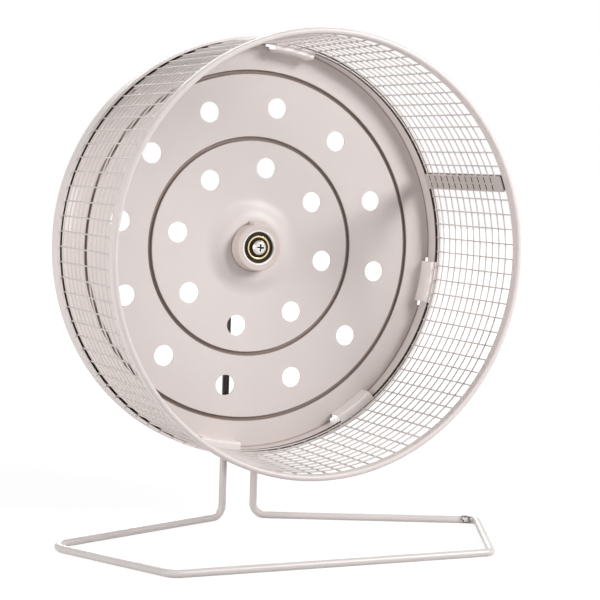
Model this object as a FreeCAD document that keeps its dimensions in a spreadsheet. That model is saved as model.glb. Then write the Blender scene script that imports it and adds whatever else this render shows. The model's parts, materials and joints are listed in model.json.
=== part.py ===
"""Free-standing exercise wheel for small animals: wire-mesh drum on a ball bearing, bent-rod stand.

Frame: +Z up, the floor at Z = 0, the axle along Y at X = 0, the open front of the drum facing -Y.
Y = 0 is the front face of the back disc. Lengths are in millimetres and angles in degrees. Every piece
on the axle is modelled about the wheel's centre and then raised to the axle's height.
"""
import FreeCAD, Part
import math
import os
import Sketcher
from FreeCAD import Vector

DIMENSIONS = {
    # Drum: two folded rims and the wire mesh that they hold
    "wheel_radius": 141.5,
    "drum_depth": 120.3,
    "rim_gauge": 0.7,
    "rim_fold": 3.7,
    "rear_rim_width": 11.0,
    "front_rim_width": 6.6,
    "wire_diameter": 1.0,
    "wire_fit": 0.05,
    "hoop_clearance": 3.0,
    "hoop_pitch": 8.25,
    "hoop_sides": 44,
    "cross_wire_count": 87,
    "mesh_span_angle": 350.3,
    # Seam where the two ends of the mesh meet
    "seam_angle": 69.4,
    "seam_width": 11.0,
    "seam_gauge": 0.7,
    "seam_slot_width": 1.1,
    "seam_slot_length": 3.9,
    "seam_slot_rise": 0.6,
    # Back disc with its pressed grooves, holes, hub dome and folded tabs
    "disc_gauge": 1.0,
    "disc_edge_inset": 1.4,
    "wheel_turn_angle": 9.8,
    "hole_diameter": 14.0,
    "outer_hole_inset": 22.5,
    "outer_hole_count": 12,
    "inner_hole_circle": 54.5,
    "inner_hole_count": 8,
    "inner_groove_radius": 73.5,
    "outer_groove_inset": 21.6,
    "groove_width": 3.2,
    "groove_depth": 2.2,
    "dome_foot_radius": 34.5,
    "dome_top_radius": 17.5,
    "dome_rise": 4.4,
    "disc_bore_radius": 9.8,
    "tab_stand_off": 4.8,
    "tab_angle": 12.2,
    "tab_overlap": 0.6,
    "tab_notch": 3.0,
    "tab_notch_depth": 4.9,
    "tab_seat_gap": 0.1,
    "tab_bend": 1.2,
    "tab_group_count": 3,
    "tab_group_angle": 90.0,
    "tab_groups": 2,
    # Ball bearing of the 8 x 22 x 7 mm series
    "bearing_bore_radius": 4.0,
    "bearing_radius": 11.0,
    "bearing_width": 7.0,
    "ball_diameter": 3.969,
    "ball_circle_radius": 7.5,
    "ball_count": 7,
    "race_fit": 0.03,
    "ring_land": 1.4,
    "seal_gauge": 0.7,
    "seal_recess": 0.15,
    "seal_lip_fit": 0.15,
    "seal_seat_radius": 9.7,
    "cage_wall": 0.9,
    "cage_width": 4.9,
    "pocket_fit": 0.06,
    # Hub housing, axle bush, screw, spacer and nut
    "bearing_fit": 0.02,
    "seat_fit": 0.05,
    "housing_radius": 16.3,
    "housing_face_radius": 15.2,
    "housing_chamfer": 0.6,
    "housing_lip": 2.0,
    "housing_lip_radius": 10.7,
    "key_width": 8.2,
    "key_reach": 17.4,
    "key_length": 8.4,
    "bush_flange_radius": 8.0,
    "bush_flange": 1.0,
    "bush_cup_radius": 7.0,
    "bush_cup_depth": 0.4,
    "screw_radius": 2.5,
    "screw_fit": 0.06,
    "screw_head_radius": 5.0,
    "screw_head_height": 3.7,
    "screw_length": 27.0,
    "recess_width": 1.1,
    "recess_span": 5.0,
    "recess_depth": 1.6,
    "spacer_radius": 5.8,
    "washer_radius": 5.0,
    "washer_gauge": 1.0,
    "nut_flats": 8.0,
    "nut_height": 4.0,
    # Stand bent from one round rod, with the plate that carries the axle
    "axle_height": 189.7,
    "rod_diameter": 5.0,
    "upright_spacing": 23.3,
    "upright_setback": 10.5,
    "hairpin_rise": 10.0,
    "foot_bend": 8.0,
    "side_bend": 15.0,
    "front_bend": 8.0,
    "weld_bend": 5.0,
    "base_half_width": 155.6,
    "base_side_reach": 51.3,
    "front_half_width": 109.2,
    "base_front_reach": 149.6,
    "butt_gap": 0.3,
    "bead_height": 0.5,
    "bead_length": 5.0,
    "bead_sweep_angle": 240.0,
    "plate_width": 36.0,
    "plate_height": 34.0,
    "plate_gauge": 2.5,
    "plate_bead": 1.2,
    "plate_bead_length": 24.0,
    "weld_fit": 0.03,
}


class Size:
    """A length that knows its value and the expression over the size sheet that gives it."""

    def __init__(self, value, text):
        self.value = value
        self.text = text

    @staticmethod
    def of(other):
        return other if isinstance(other, Size) else Size(float(other), str(other))

    def __add__(self, other):
        other = Size.of(other)
        return Size(self.value + other.value, f"({self.text} + {other.text})")

    def __sub__(self, other):
        other = Size.of(other)
        return Size(self.value - other.value, f"({self.text} - {other.text})")

    def __mul__(self, other):
        other = Size.of(other)
        return Size(self.value * other.value, f"({self.text} * {other.text})")

    def __truediv__(self, other):
        other = Size.of(other)
        return Size(self.value / other.value, f"({self.text} / {other.text})")

    def __neg__(self):
        return Size(-self.value, f"(0 - {self.text})")

    def root(self):
        return Size(math.sqrt(self.value), f"sqrt({self.text})")

    def whole(self):
        return Size(math.floor(self.value), f"floor({self.text})")

    def sine(self):
        return Size(math.sin(math.radians(self.value)), f"sin({self.text} * 1 deg)")

    def cosine(self):
        return Size(math.cos(math.radians(self.value)), f"cos({self.text} * 1 deg)")


class Sheet:
    """The size sheet: one attribute for each driving dimension."""

    def __init__(self, document):
        self.cells = document.addObject("Spreadsheet::Sheet", "Sizes")
        for row, (alias, value) in enumerate(DIMENSIONS.items(), start=1):
            self.cells.set(f"A{row}", alias)
            self.cells.set(f"B{row}", str(value))
            self.cells.setAlias(f"B{row}", alias)
        document.recompute()
        for alias in DIMENSIONS:
            setattr(self, alias, Size(float(self.cells.get(alias)), f"Sizes.{alias}"))


doc = FreeCAD.newDocument("exercise_wheel")
d = Sheet(doc)
zero = Size(0.0, "0")

# Stations along the axle and radii that several pieces share
bearing_rear = -(d.dome_rise + d.seat_fit)
bearing_front = bearing_rear - d.bearing_width
bearing_middle = bearing_rear - d.bearing_width / 2
rod_radius = d.rod_diameter / 2
plate_rear = d.upright_setback - rod_radius - d.weld_fit
plate_front = plate_rear - d.plate_gauge
cup_floor = bearing_front - d.seat_fit - d.bush_flange + d.bush_cup_depth
outer_wall = d.wheel_radius - d.rim_gauge
inner_wall = d.wheel_radius - d.rim_fold
disc_radius = d.wheel_radius - d.disc_edge_inset
outer_groove_radius = disc_radius - d.outer_groove_inset
outer_hole_circle = outer_groove_radius - d.outer_hole_inset
tab_radius = inner_wall - d.tab_stand_off
cross_wire_radius = inner_wall + d.rim_gauge + d.wire_fit + d.wire_diameter / 2
hoop_radius = cross_wire_radius - d.wire_diameter - d.wire_fit
grip_radius = cross_wire_radius + d.wire_diameter / 2 + d.wire_fit
hoop_first = d.rear_rim_width + d.hoop_clearance
hoop_limit = d.drum_depth - d.front_rim_width - d.hoop_clearance
hoop_count = ((hoop_limit - hoop_first) / d.hoop_pitch).whole() + 1
ball_radius = d.ball_diameter / 2
race_radius = ball_radius + d.race_fit
screw_bore = d.screw_radius + d.screw_fit

parts = []


def keep(label, item):
    """Give a finished sub-part the label that names its file."""
    item.Label = label
    parts.append(item)
    return item


def bind(item, name, size):
    item.setExpression(name, size.text)


def stand_on_axle(item, turn=zero):
    """Raise a piece modelled about the wheel's centre to the axle, turned about it if asked."""
    spin = f"rotation(vector(0; 1; 0); {turn.text})"
    item.setExpression("Placement", f"placement(vector(0; 0; {d.axle_height.text}); {spin})")


def new_body(name):
    body = doc.addObject("PartDesign::Body", name)
    body.AllowCompound = True
    return body


def origin_feature(body, role):
    return next(item for item in body.Origin.OriginFeatures if item.Role == role)


def attach(item, body, role, offset=None):
    """Set an item on one of the body's own origin planes, moved along its normal if asked."""
    item.AttachmentSupport = [(origin_feature(body, role), "")]
    item.MapMode = "FlatFace"
    if offset is not None:
        bind(item, "AttachmentOffset.Base.z", offset)
    return item


def new_sketch(body, name, role, offset=None):
    return attach(body.newObject("Sketcher::SketchObject", name), body, role, offset)


def pin_point(sketch, curve, end, point):
    """Hold one end of a curve at its place from the sketch's origin."""
    for kind, size in (("DistanceX", point[0]), ("DistanceY", point[1])):
        index = sketch.addConstraint(Sketcher.Constraint(kind, -1, 1, curve, end, size.value))
        bind(sketch, f"Constraints[{index}]", size)


def arc_between(start, end, radius):
    """Arc of under a half circle; a positive radius runs counter-clockwise from start to end."""
    chord = end - start
    across = Vector(-chord.y, chord.x, 0).normalize()
    reach = math.sqrt(radius**2 - (chord.Length / 2) ** 2)
    centre = (start + end) * 0.5 + across * math.copysign(reach, radius)
    first, last = (start, end) if radius > 0 else (end, start)
    angles = [math.atan2(p.y - centre.y, p.x - centre.x) for p in (first, last)]
    return Part.ArcOfCircle(Part.Circle(centre, Vector(0, 0, 1), abs(radius)), angles[0], angles[1])


def outline(sketch, corners):
    """Closed outline through (x, y) corners; a third value is the radius of the arc to the next one."""
    places = [Vector(c[0].value, c[1].value, 0) for c in corners]
    joints = []
    for index, corner in enumerate(corners):
        start = places[index]
        end = places[(index + 1) % len(places)]
        radius = corner[2] if len(corner) > 2 else None
        if radius is None:
            curve = sketch.addGeometry(Part.LineSegment(start, end), False)
            joints.append((curve, 1, 2))
            continue
        curve = sketch.addGeometry(arc_between(start, end, radius.value), False)
        joints.append((curve, 1, 2) if radius.value > 0 else (curve, 2, 1))
        size = radius if radius.value > 0 else -radius
        held = sketch.addConstraint(Sketcher.Constraint("Radius", curve, size.value))
        bind(sketch, f"Constraints[{held}]", size)
    for index, (curve, begin, finish) in enumerate(joints):
        following, following_begin, unused = joints[(index + 1) % len(joints)]
        sketch.addConstraint(Sketcher.Constraint("Coincident", curve, finish, following, following_begin))
        pin_point(sketch, curve, begin, corners[index])


def circle(sketch, x, y, radius):
    place = Vector(x.value, y.value, 0)
    curve = sketch.addGeometry(Part.Circle(place, Vector(0, 0, 1), radius.value), False)
    held = sketch.addConstraint(Sketcher.Constraint("Radius", curve, radius.value))
    bind(sketch, f"Constraints[{held}]", radius)
    pin_point(sketch, curve, 3, (x, y))


def box_corners(low_x, low_y, high_x, high_y):
    return [(low_x, low_y), (high_x, low_y), (high_x, high_y), (low_x, high_y)]


def turned(body, name, corners, angle=None):
    """Revolve a profile of (station along the axle, radius) corners about the axle."""
    sketch = new_sketch(body, f"{name}_profile", "YZ_Plane")
    outline(sketch, corners)
    turn = body.newObject("PartDesign::Revolution", name)
    turn.Profile = (sketch, [""])
    turn.ReferenceAxis = (sketch, ["H_Axis"])
    turn.Angle = 360.0
    if angle is not None:
        turn.Midplane = True
        bind(turn, "Angle", angle)
    body.Tip = turn
    return turn


def turned_piece(label, corners):
    """A piece that is one profile turned about the axle."""
    body = new_body(label)
    turned(body, f"{label}_turning", corners)
    stand_on_axle(body)
    return keep(label, body)


def pad(body, name, sketch, length):
    feature = body.newObject("PartDesign::Pad", name)
    feature.Profile = (sketch, [""])
    bind(feature, "Length", length)
    body.Tip = feature
    return feature


def pierce(body, name, sketch):
    """Cut a sketch through the whole body."""
    feature = body.newObject("PartDesign::Pocket", name)
    feature.Profile = (sketch, [""])
    feature.Type = "ThroughAll"
    feature.Midplane = True
    body.Tip = feature
    return feature


def around(body, name, originals, axis, count, angle=None):
    """Repeat features about the axle, over a full turn or the given angle."""
    pattern = body.newObject("PartDesign::PolarPattern", name)
    pattern.Originals = originals
    pattern.Axis = axis
    pattern.Angle = 360.0
    if angle is not None:
        bind(pattern, "Angle", angle)
    bind(pattern, "Occurrences", count)
    body.Tip = pattern
    return pattern


def along_axle(body, name, originals, pitch, count):
    """Repeat features at an even pitch towards the open front."""
    pattern = body.newObject("PartDesign::LinearPattern", name)
    pattern.Originals = originals
    pattern.Direction = (origin_feature(body, "Y_Axis"), [""])
    pattern.Reversed = True
    bind(pattern, "Length", pitch * (count - 1))
    bind(pattern, "Occurrences", count)
    body.Tip = pattern
    return pattern


def folded_rim(label, web, reach):
    """Channel folded from its web, its outer wall ending in a lip that grips the wires on the inner wall."""
    gauge = d.rim_gauge if reach.value > 0 else -d.rim_gauge
    edge = web + reach
    wall_back = inner_wall + d.rim_gauge
    turned_piece(label, [
        (web, inner_wall), (web, d.wheel_radius), (edge, d.wheel_radius), (edge, grip_radius),
        (edge - gauge, grip_radius), (edge - gauge, outer_wall), (web + gauge, outer_wall),
        (web + gauge, wall_back), (edge, wall_back), (edge, inner_wall),
    ])


def make_rims():
    """Rims that hold the two ends of the mesh."""
    folded_rim("rear_rim", zero, -d.rear_rim_width)
    folded_rim("front_rim", -d.drum_depth, d.front_rim_width)


def make_hoops():
    """Hoops of the running surface, inside the cross wires, each a ring of short flats."""
    body = new_body("mesh_hoops")
    half = d.wire_diameter / 2
    prisms = []
    for kind, radius in (("Additive", hoop_radius + half), ("Subtractive", hoop_radius - half)):
        prism = body.newObject(f"PartDesign::{kind}Prism", f"{kind.lower()}_hoop")
        attach(prism, body, "XZ_Plane", hoop_first - half)
        bind(prism, "Polygon", d.hoop_sides)
        bind(prism, "Circumradius", radius)
        bind(prism, "Height", d.wire_diameter)
        prisms.append(prism)
    along_axle(body, "hoop_row", prisms, d.hoop_pitch, hoop_count)
    stand_on_axle(body)
    keep("mesh_hoops", body)


def make_cross_wires():
    """Straight wires along the drum, their ends gripped in the two rims."""
    body = new_body("mesh_cross_wires")
    rear_end = d.rim_gauge + d.wire_fit
    sketch = new_sketch(body, "wire_section", "XZ_Plane", rear_end)
    half = d.wire_diameter / 2
    shoulder = d.wire_diameter / 4
    outline(sketch, [
        (zero - half, cross_wire_radius), (zero - shoulder, cross_wire_radius - half),
        (zero + shoulder, cross_wire_radius - half), (zero + half, cross_wire_radius),
        (zero + shoulder, cross_wire_radius + half), (zero - shoulder, cross_wire_radius + half),
    ])
    wire = pad(body, "first_wire", sketch, d.drum_depth - rear_end * 2)
    around(body, "wire_ring", [wire], (sketch, ["N_Axis"]), d.cross_wire_count, d.mesh_span_angle)
    seam_clearance = (Size(360.0, "360") - d.mesh_span_angle) / 2
    stand_on_axle(body, d.seam_angle - seam_clearance)
    keep("mesh_cross_wires", body)


def make_seam():
    """Two strips that clamp the ends of the mesh; the inner one is slotted between the hoops."""
    degrees_per_mm = Size(180.0 / math.pi, str(180.0 / math.pi)) / hoop_radius
    spread = d.seam_width * degrees_per_mm
    rear = -d.rear_rim_width - d.seat_fit
    front = -d.drum_depth + d.front_rim_width + d.seat_fit
    outer = new_body("seam_outer_strip")
    turned(outer, "outer_leaf", box_corners(front, grip_radius, rear, grip_radius + d.seam_gauge), spread)
    stand_on_axle(outer, d.seam_angle)
    keep("seam_outer_strip", outer)

    inner = new_body("seam_inner_strip")
    flat_inset = (Size(180.0, "180") / d.hoop_sides).cosine()
    top = (hoop_radius - d.wire_diameter / 2) * flat_inset - d.wire_fit
    turned(inner, "inner_leaf", box_corners(front, top - d.seam_gauge, rear, top), spread)
    sketch = new_sketch(inner, "slot_pair", "XY_Plane")
    between = hoop_first + d.hoop_pitch / 2
    low = -between - d.seam_slot_width / 2
    high = -between + d.seam_slot_width / 2
    outline(sketch, box_corners(-d.seam_slot_rise - d.seam_slot_length, low, -d.seam_slot_rise, high))
    outline(sketch, box_corners(d.seam_slot_rise, low, d.seam_slot_rise + d.seam_slot_length, high))
    slots = pierce(inner, "first_slots", sketch)
    along_axle(inner, "slot_row", [slots], d.hoop_pitch, hoop_count - 1)
    stand_on_axle(inner, d.seam_angle)
    keep("seam_inner_strip", inner)


def groove_corners(radius):
    """Front edge of a pressed ring groove, from its inner to its outer lip."""
    half = d.groove_width / 2
    floor = d.groove_width / 4
    return [
        (zero, radius - half), (d.groove_depth, radius - floor),
        (d.groove_depth, radius + floor), (zero, radius + half),
    ]


def make_back_disc():
    """Sheet disc with a hub dome, two ring grooves, two rings of holes and tabs that hook the rear rim."""
    body = new_body("back_disc")
    half_run = (d.dome_foot_radius - d.dome_top_radius) / 2
    half_rise = d.dome_rise / 2
    sweep = (half_run * half_run + half_rise * half_rise) / d.dome_rise
    top = -d.dome_rise
    front = [
        (top, d.disc_bore_radius), (top, d.dome_top_radius, -sweep),
        (-half_rise, d.dome_top_radius + half_run, sweep), (zero, d.dome_foot_radius),
        *groove_corners(d.inner_groove_radius), *groove_corners(outer_groove_radius),
    ]
    rear = [(d.disc_gauge, disc_radius)]
    for radius in (outer_groove_radius, d.inner_groove_radius):
        rear += [(c[0] + d.disc_gauge, c[1]) for c in reversed(groove_corners(radius))]
    rear += [
        (d.disc_gauge, d.dome_foot_radius, -sweep),
        (d.disc_gauge - half_rise, d.dome_top_radius + half_run, sweep),
        (top + d.disc_gauge, d.dome_top_radius), (top + d.disc_gauge, d.disc_bore_radius),
    ]
    turned(body, "pressed_sheet", front + [(zero, disc_radius)] + rear)

    rings = (
        ("outer", outer_hole_circle, d.outer_hole_count),
        ("inner", d.inner_hole_circle, d.inner_hole_count),
    )
    for name, ring, count in rings:
        sketch = new_sketch(body, f"{name}_hole", "XZ_Plane")
        circle(sketch, zero, ring, d.hole_diameter / 2)
        hole = pierce(body, f"{name}_first_hole", sketch)
        around(body, f"{name}_holes", [hole], (sketch, ["N_Axis"]), count)
    make_tabs(body)
    stand_on_axle(body, d.wheel_turn_angle)
    keep("back_disc", body)


def make_tabs(body):
    """Six tabs folded forward out of the sheet and over the front edge of the rim's inner wall."""
    slot = new_sketch(body, "tab_slot", "XZ_Plane")
    outer_face = tab_radius + d.disc_gauge
    half = (d.tab_angle / 2).sine() * outer_face
    end = half + d.tab_notch
    over = disc_radius + d.tab_notch
    foot = disc_radius - d.tab_notch_depth
    outline(slot, [
        (-end, foot), (-half, foot), (-half, outer_face), (half, outer_face),
        (half, foot), (end, foot), (end, over), (-end, over),
    ])
    cut = pierce(body, "first_slot", slot)
    seat = -d.rear_rim_width - d.tab_seat_gap
    face = seat - d.disc_gauge
    tip = inner_wall + d.tab_overlap
    hook = turned(body, "first_tab", [
        (d.disc_gauge, tab_radius), (d.disc_gauge, outer_face), (seat, outer_face), (seat, tip),
        (face, tip), (face, tab_radius + d.tab_bend), (face + d.tab_bend, tab_radius),
    ], d.tab_angle)
    axis = (slot, ["N_Axis"])
    group = around(body, "tab_group", [], axis, d.tab_group_count, d.tab_group_angle)
    pair = around(body, "tab_groups", [], axis, d.tab_groups)
    both = body.newObject("PartDesign::MultiTransform", "tab_ring")
    both.Originals = [cut, hook]
    both.Transformations = [group, pair]
    body.Tip = both


def make_housing():
    """Bearing cup welded on the dome, with a lip before the bearing and an anti-turn key at its rim."""
    body = new_body("bearing_housing")
    rear = -d.dome_rise
    lip_rear = bearing_front - d.seat_fit
    face = lip_rear - d.housing_lip
    chamfer = d.housing_chamfer
    bore = d.bearing_radius + d.bearing_fit
    turned(body, "cup", [
        (rear, bore), (rear, d.housing_radius), (face + chamfer, d.housing_face_radius + chamfer),
        (face, d.housing_face_radius), (face, d.housing_lip_radius + chamfer),
        (face + chamfer, d.housing_lip_radius), (lip_rear, d.housing_lip_radius), (lip_rear, bore),
    ])
    sketch = new_sketch(body, "key_face", "XZ_Plane", d.dome_rise)
    half = d.key_width / 2
    root = (d.bearing_radius + d.housing_face_radius) / 2
    outline(sketch, box_corners(-half, root, half, d.key_reach))
    pad(body, "key", sketch, d.key_length)
    stand_on_axle(body)
    keep("bearing_housing", body)


def make_bearing():
    """Sealed ball bearing: two grooved rings, seven balls in a cage and a seal at each side."""
    inner_land = d.ball_circle_radius - d.ring_land
    outer_land = d.ball_circle_radius + d.ring_land
    floor_half = race_radius * Size(math.sqrt(2.0) - 1.0, "(sqrt(2) - 1)")
    race_half = floor_half + race_radius - d.ring_land
    inner_race = d.ball_circle_radius - race_radius
    outer_race = d.ball_circle_radius + race_radius
    turned_piece("bearing_inner_ring", [
        (bearing_rear, d.bearing_bore_radius), (bearing_rear, inner_land),
        (bearing_middle + race_half, inner_land), (bearing_middle + floor_half, inner_race),
        (bearing_middle - floor_half, inner_race), (bearing_middle - race_half, inner_land),
        (bearing_front, inner_land), (bearing_front, d.bearing_bore_radius),
    ])
    seat = d.seal_gauge + d.seal_recess
    turned_piece("bearing_outer_ring", [
        (bearing_front, d.bearing_radius), (bearing_front, d.seal_seat_radius),
        (bearing_front + seat, d.seal_seat_radius), (bearing_front + seat, outer_land),
        (bearing_middle - race_half, outer_land), (bearing_middle - floor_half, outer_race),
        (bearing_middle + floor_half, outer_race), (bearing_middle + race_half, outer_land),
        (bearing_rear - seat, outer_land), (bearing_rear - seat, d.seal_seat_radius),
        (bearing_rear, d.seal_seat_radius), (bearing_rear, d.bearing_radius),
    ])
    lip = inner_land + d.seal_lip_fit
    rim = d.seal_seat_radius - d.bearing_fit
    outside = bearing_front + d.seal_recess
    turned_piece("front_seal", box_corners(outside, lip, outside + d.seal_gauge - d.bearing_fit, rim))
    inside = bearing_rear - d.seal_recess
    turned_piece("rear_seal", box_corners(inside - d.seal_gauge + d.bearing_fit, lip, inside, rim))
    make_balls()
    make_cage()


def eight_sided_ball(radius):
    """Ball of flat facets in four rings of eight corners."""
    rings = []
    for latitude in (-67.5, -22.5, 22.5, 67.5):
        tilt = math.radians(latitude)
        turns = [math.radians(45.0 * step) for step in range(8)]
        reach = radius * math.cos(tilt)
        height = radius * math.sin(tilt)
        rings.append([Vector(reach * math.cos(turn), reach * math.sin(turn), height) for turn in turns])
    facets = [rings[0], rings[-1]]
    for lower, upper in zip(rings, rings[1:]):
        for step in range(8):
            facets.append([lower[step - 1], lower[step], upper[step], upper[step - 1]])
    faces = [Part.Face(Part.makePolygon(corners + corners[:1])) for corners in facets]
    return Part.makeSolid(Part.makeShell(faces))


def make_balls():
    """Ring of balls, plain with eight sides because the seals hide them."""
    ball = eight_sided_ball(ball_radius.value)
    count = int(d.ball_count.value)
    balls = []
    for index in range(count):
        copy = ball.copy()
        copy.translate(Vector(0, bearing_middle.value, d.ball_circle_radius.value))
        copy.rotate(Vector(), Vector(0, 1, 0), 360.0 * index / count)
        balls.append(copy)
    item = doc.addObject("Part::Feature", "bearing_balls")
    item.Shape = Part.makeCompound(balls)
    stand_on_axle(item)
    keep("bearing_balls", item)


def make_cage():
    """Band between the races with a window for each ball."""
    body = new_body("ball_cage")
    half = d.cage_width / 2
    wall = d.cage_wall / 2
    inside = d.ball_circle_radius - wall
    outside = d.ball_circle_radius + wall
    turned(body, "cage_band", box_corners(bearing_middle - half, inside, bearing_middle + half, outside))
    sketch = new_sketch(body, "window", "XY_Plane")
    room = ball_radius + d.pocket_fit
    outline(sketch, box_corners(-room, bearing_middle - room, room, bearing_middle + room))
    window = body.newObject("PartDesign::Pocket", "first_window")
    window.Profile = (sketch, [""])
    window.Reversed = True
    bind(window, "Length", d.ball_circle_radius + d.cage_wall)
    around(body, "windows", [window], (origin_feature(body, "Y_Axis"), [""]), d.ball_count)
    stand_on_axle(body)
    keep("ball_cage", body)


def make_axle():
    """Cupped bush, cross-recess screw, spacer, washer and nut that clamp the bearing to the plate."""
    flange_rear = bearing_front - d.seat_fit
    flange_front = flange_rear - d.bush_flange
    sleeve = d.bearing_bore_radius - d.bearing_fit
    turned_piece("axle_bush", [
        (bearing_rear, screw_bore), (bearing_rear, sleeve), (flange_rear, sleeve),
        (flange_rear, d.bush_flange_radius), (flange_front, d.bush_flange_radius),
        (flange_front, d.bush_cup_radius), (cup_floor, d.bush_cup_radius), (cup_floor, screw_bore),
    ])
    make_screw()
    spacer_front = bearing_rear + d.seat_fit / 2
    turned_piece("axle_spacer", box_corners(spacer_front, screw_bore, plate_front, d.spacer_radius))
    washer_rear = plate_rear + d.washer_gauge
    turned_piece("plate_washer", box_corners(plate_rear, screw_bore, washer_rear, d.washer_radius))
    make_nut(washer_rear)


def make_screw():
    body = new_body("axle_screw")
    face = cup_floor - d.screw_head_height
    crown = d.screw_head_height / 2
    tip = cup_floor + d.screw_length
    chamfer = d.screw_radius / 5
    turned(body, "shank_and_head", [
        (face, zero), (tip, zero), (tip, d.screw_radius - chamfer), (tip - chamfer, d.screw_radius),
        (cup_floor, d.screw_radius), (cup_floor, d.screw_head_radius),
        (cup_floor - crown, d.screw_head_radius), (face + crown / 4, d.screw_head_radius - crown / 2),
        (face, d.screw_head_radius - crown),
    ])
    sketch = new_sketch(body, "cross_recess", "XZ_Plane", -face)
    thin = d.recess_width / 2
    wide = d.recess_span / 2
    outline(sketch, [
        (-wide, -thin), (-thin, -thin), (-thin, -wide), (thin, -wide), (thin, -thin), (wide, -thin),
        (wide, thin), (thin, thin), (thin, wide), (-thin, wide), (-thin, thin), (-wide, thin),
    ])
    recess = body.newObject("PartDesign::Pocket", "recess")
    recess.Profile = (sketch, [""])
    bind(recess, "Length", d.recess_depth)
    body.Tip = recess
    stand_on_axle(body)
    keep("axle_screw", body)


def make_nut(front):
    body = new_body("axle_nut")
    sketch = new_sketch(body, "nut_section", "XZ_Plane", -front)
    flat = d.nut_flats / 2
    corner = d.nut_flats / Size(math.sqrt(3.0), "sqrt(3)")
    outline(sketch, [
        (-corner, zero), (-corner / 2, -flat), (corner / 2, -flat),
        (corner, zero), (corner / 2, flat), (-corner / 2, flat),
    ])
    circle(sketch, zero, zero, screw_bore)
    nut = pad(body, "nut_blank", sketch, d.nut_height)
    nut.Reversed = True
    stand_on_axle(body)
    keep("axle_nut", body)


def make_plate():
    """Plate across the two uprights that takes the axle screw, with a weld bead beside each rod."""
    body = new_body("axle_plate")
    sketch = new_sketch(body, "plate_outline", "XZ_Plane", -plate_front)
    half_width = d.plate_width / 2
    half_height = d.plate_height / 2
    cut = d.plate_gauge
    outline(sketch, [
        (-half_width + cut, -half_height), (half_width - cut, -half_height), (half_width, -half_height + cut),
        (half_width, half_height - cut), (half_width - cut, half_height), (-half_width + cut, half_height),
        (-half_width, half_height - cut), (-half_width, -half_height + cut),
    ])
    circle(sketch, zero, zero, screw_bore)
    blank = pad(body, "plate_blank", sketch, d.plate_gauge)
    blank.Reversed = True
    stand_on_axle(body)
    keep("axle_plate", body)

    centre_y = plate_rear + d.plate_bead + d.weld_fit
    drop = d.upright_setback - centre_y
    reach = rod_radius + d.plate_bead + d.weld_fit
    aside = (reach * reach - drop * drop).root()
    beads = []
    for side in (-1, 1):
        for edge in (-1, 1):
            bead = doc.addObject("Part::Cylinder", f"plate_bead_{len(beads) + 1}")
            bind(bead, "Radius", d.plate_bead)
            bind(bead, "Height", d.plate_bead_length)
            bind(bead, "Placement.Base.x", d.upright_spacing / 2 * side + aside * edge)
            bind(bead, "Placement.Base.y", centre_y)
            bind(bead, "Placement.Base.z", -d.plate_bead_length / 2)
            beads.append(bead)
    group = doc.addObject("Part::Compound", "plate_bead_group")
    group.Links = beads
    stand_on_axle(group)
    keep("plate_welds", group)


def rounded_path(points, radii):
    """Edges of straight runs joined by tangent arcs; the first and last points are free ends."""
    edges = []
    start = points[0]
    for before, corner, after, radius in zip(points, points[1:], points[2:], radii):
        towards = (before - corner).normalize()
        away = (after - corner).normalize()
        half_angle = towards.getAngle(away) / 2
        setback = radius / math.tan(half_angle)
        centre_way = (towards + away).normalize()
        middle = corner + centre_way * (radius / math.sin(half_angle) - radius)
        enter = corner + towards * setback
        leave = corner + away * setback
        edges.append(Part.LineSegment(start, enter).toShape())
        edges.append(Part.Arc(enter, middle, leave).toShape())
        start = leave
    edges.append(Part.LineSegment(start, points[-1]).toShape())
    return edges


def stand_points():
    """Corners of the rod's centre line, from the butt weld at the right round the base and the hairpin."""
    floor = rod_radius.value
    aside = d.upright_spacing.value / 2
    setback = d.upright_setback.value
    top = d.axle_height.value + d.hairpin_rise.value + aside
    right = Vector(d.base_half_width.value, -d.base_side_reach.value, floor)
    right_foot = Vector(aside, setback, floor)
    inward = (right_foot - right).normalize()
    weld = right + inward * (d.weld_bend.value + d.bead_length.value / 2 + d.bead_height.value)
    half_gap = inward * (d.butt_gap.value / 2)
    return [
        weld - half_gap,
        right,
        Vector(d.front_half_width.value, -d.base_front_reach.value, floor),
        Vector(-d.front_half_width.value, -d.base_front_reach.value, floor),
        Vector(-d.base_half_width.value, -d.base_side_reach.value, floor),
        Vector(-aside, setback, floor),
        Vector(-aside, setback, top),
        Vector(aside, setback, top),
        right_foot,
        weld + half_gap,
    ]


def make_stand_rod():
    """One rod bent into the base loop, the two uprights and the hairpin above the axle."""
    points = stand_points()
    front = d.front_bend.value
    foot = d.foot_bend.value
    hairpin = d.upright_spacing.value / 2 - d.weld_fit.value
    bends = [d.weld_bend.value, front, front, d.side_bend.value, foot, hairpin, hairpin, foot]
    spine = Part.Wire(rounded_path(points, bends))
    run = (points[1] - points[0]).normalize()
    section = Part.Wire(Part.Circle(points[0], run, rod_radius.value).toShape())
    rod = doc.addObject("Part::Feature", "stand_rod")
    rod.Shape = spine.makePipeShell([section], True, False)
    keep("stand_rod", rod)

    middle = (points[0] + points[-1]) * 0.5
    half = d.bead_length.value / 2
    inner = rod_radius.value + d.weld_fit.value
    crown = inner + d.bead_height.value
    slope = half - d.bead_height.value
    corners = [(inner, -half), (inner, half), (crown, slope), (crown, -slope), (inner, -half)]
    face = Part.Face(Part.makePolygon([Vector(radius, 0, station) for radius, station in corners]))
    face.rotate(Vector(), Vector(0, 0, 1), -d.bead_sweep_angle.value / 2)
    bead = doc.addObject("Part::Feature", "rod_butt_weld")
    bead.Shape = face.revolve(Vector(), Vector(0, 0, 1), d.bead_sweep_angle.value)
    upwards = Vector(0, 0, 1)
    bead.Placement = FreeCAD.Placement(middle, FreeCAD.Rotation(upwards, run.cross(upwards), run, "ZXY"))
    keep("rod_butt_weld", bead)


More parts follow.
